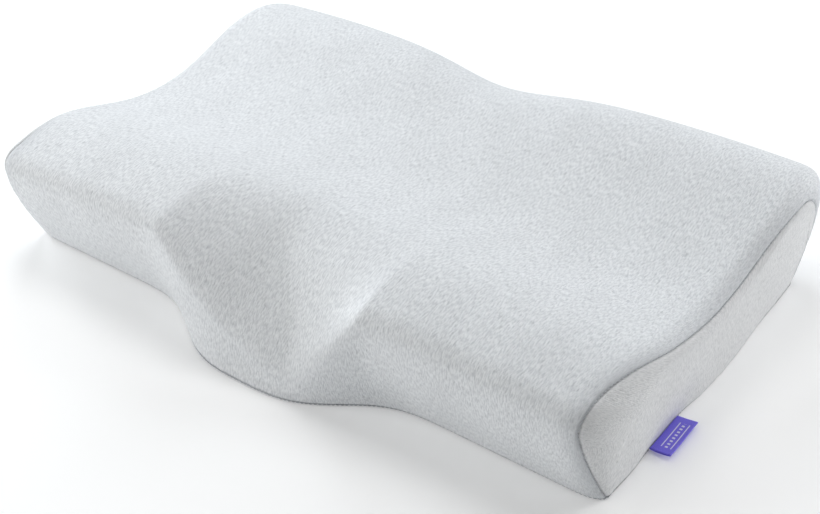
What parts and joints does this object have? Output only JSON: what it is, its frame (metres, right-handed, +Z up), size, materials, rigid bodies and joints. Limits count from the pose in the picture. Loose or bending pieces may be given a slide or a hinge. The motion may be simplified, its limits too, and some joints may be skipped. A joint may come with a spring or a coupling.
{
  "type": "contoured neck support pillow",
  "caption": "Contoured foam neck pillow with raised ridges, a head cradle, a sloping neck ramp and a zipped heather-grey knitted cover with a side label.",
  "frame": {"origin": "on the bed, under the middle of the pillow's base panel", "axes": "+X along the length to the end with the label, +Y from the neck side to the back, +Z up from the bed"},
  "size_m": [0.6049, 0.4204, 0.1208],
  "materials": {
    "foam": "matt moulded polyurethane foam",
    "liner": "thin plain knit",
    "cover_knit": "heather-grey brushed knit",
    "cover_underside": "plain grey warp knit",
    "seam_thread": "polyester thread",
    "zip_tape": "woven tape",
    "zip_teeth": "moulded polyester",
    "zip_metal": "grey painted zinc",
    "label_tape": "woven satin tape"
  },
  "bodies": {
    "pillow": {"foam_core": "foam", "liner_top": "liner", "liner_end_right": "liner", "liner_end_left": "liner", "liner_base": "liner", "cover_top": "cover_knit", "cover_end_right": "cover_knit", "cover_end_left": "cover_knit", "cover_base": "cover_underside", "seam_end_right": "seam_thread", "seam_end_left": "seam_thread", "seam_base": "seam_thread", "zip_tape_upper": "zip_tape", "zip_tape_lower": "zip_tape", "zip_teeth_upper": "zip_teeth", "zip_teeth_lower": "zip_teeth", "zip_stop_front": "zip_metal", "zip_stop_back": "zip_metal", "label_stitching": "seam_thread"},
    "slider": {"zip_slider": "zip_metal"},
    "pull": {"zip_pull": "zip_metal"},
    "label": {"side_label": "label_tape"}
  },
  "joints": [
    {"name": "zip_slide", "type": "slide", "parent": "pillow", "child": "slider", "axis": [0, -1, 0], "range_m": [0, 0.256]},
    {"name": "zip_pull_swing", "type": "hinge", "parent": "slider", "child": "pull", "pos_m": [-0.29297, 0.1223, 0.02577], "axis": [0.1085, 0, -0.9941], "range_deg": [0, 170]},
    {"name": "label_flap", "type": "hinge", "parent": "pillow", "child": "label", "pos_m": [0.2894, -0.082, 0.0032], "axis": [0, -1, 0], "range_deg": [-6, 60]}
  ]
}
